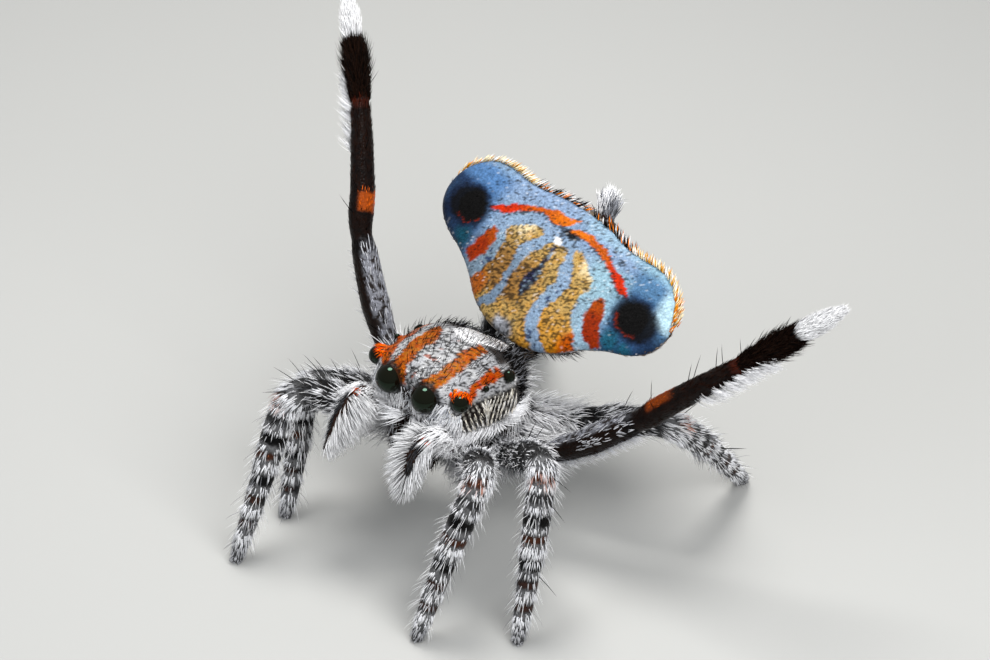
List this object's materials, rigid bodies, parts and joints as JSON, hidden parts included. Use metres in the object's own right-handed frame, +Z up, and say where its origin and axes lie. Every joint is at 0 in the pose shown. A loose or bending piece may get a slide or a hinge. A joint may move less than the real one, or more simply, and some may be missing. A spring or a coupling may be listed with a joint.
{
  "type": "peacock spider",
  "caption": "Male peacock spider in courtship display, its patterned fan raised and one pair of legs held high, standing on its other feet.",
  "frame": {"origin": "on the ground under the middle of the spider's overall box", "axes": "+Z up from the ground, the spider faces -Y and its own left is +X"},
  "size_m": [0.009, 0.0066, 0.0053],
  "materials": {
    "body_scales": "short grey-white scales speckled black, with orange bands along the back of the head shell",
    "fan_scales": "fine velvety scales in shimmering blue with gold, orange and black markings",
    "eye_gloss": "glossy black lens with a faint green depth",
    "leg_hair": "grey-white hair in rings of black and brown",
    "dark_hair": "dense brown-black hair on the raised legs",
    "white_brush": "long soft white hair",
    "bare_shell": "smooth dark brown shell with sparse pale hair"
  },
  "bodies": {
    "root": {"carapace": "body_scales", "underside": "bare_shell", "eye_main_left": "eye_gloss", "eye_main_right": "eye_gloss", "eye_side_left": "eye_gloss", "eye_side_right": "eye_gloss", "eye_small_left": "eye_gloss", "eye_small_right": "eye_gloss", "eye_rear_left": "eye_gloss", "eye_rear_right": "eye_gloss", "chelicera_left": "body_scales", "palp_left": "body_scales", "palp_brush_left": "white_brush", "chelicera_right": "body_scales", "palp_right": "body_scales", "palp_brush_right": "white_brush", "abdomen": "fan_scales", "fan_flap_left": "fan_scales", "fan_flap_right": "fan_scales", "spinnerets": "white_brush", "leg1_left_coxa": "leg_hair", "leg1_left_femur": "leg_hair", "leg1_left_shin": "leg_hair", "leg1_left_foot": "leg_hair", "leg1_right_coxa": "leg_hair", "leg1_right_femur": "leg_hair", "leg1_right_shin": "leg_hair", "leg1_right_foot": "leg_hair", "leg2_left_coxa": "leg_hair", "leg2_left_femur": "leg_hair", "leg2_left_shin": "leg_hair", "leg2_left_foot": "leg_hair", "leg2_right_coxa": "leg_hair", "leg2_right_femur": "leg_hair", "leg2_right_shin": "leg_hair", "leg2_right_foot": "leg_hair", "leg3_left_coxa": "leg_hair", "leg3_left_femur": "leg_hair", "leg3_left_shin": "dark_hair", "leg3_left_foot": "dark_hair", "leg3_right_coxa": "leg_hair", "leg3_right_femur": "leg_hair", "leg3_right_shin": "dark_hair", "leg3_right_foot": "dark_hair", "leg4_left_coxa": "leg_hair", "leg4_left_femur": "leg_hair", "leg4_left_shin": "leg_hair", "leg4_left_foot": "leg_hair", "leg4_right_coxa": "leg_hair", "leg4_right_femur": "leg_hair", "leg4_right_shin": "leg_hair", "leg4_right_foot": "leg_hair"}
  },
  "joints": []
}
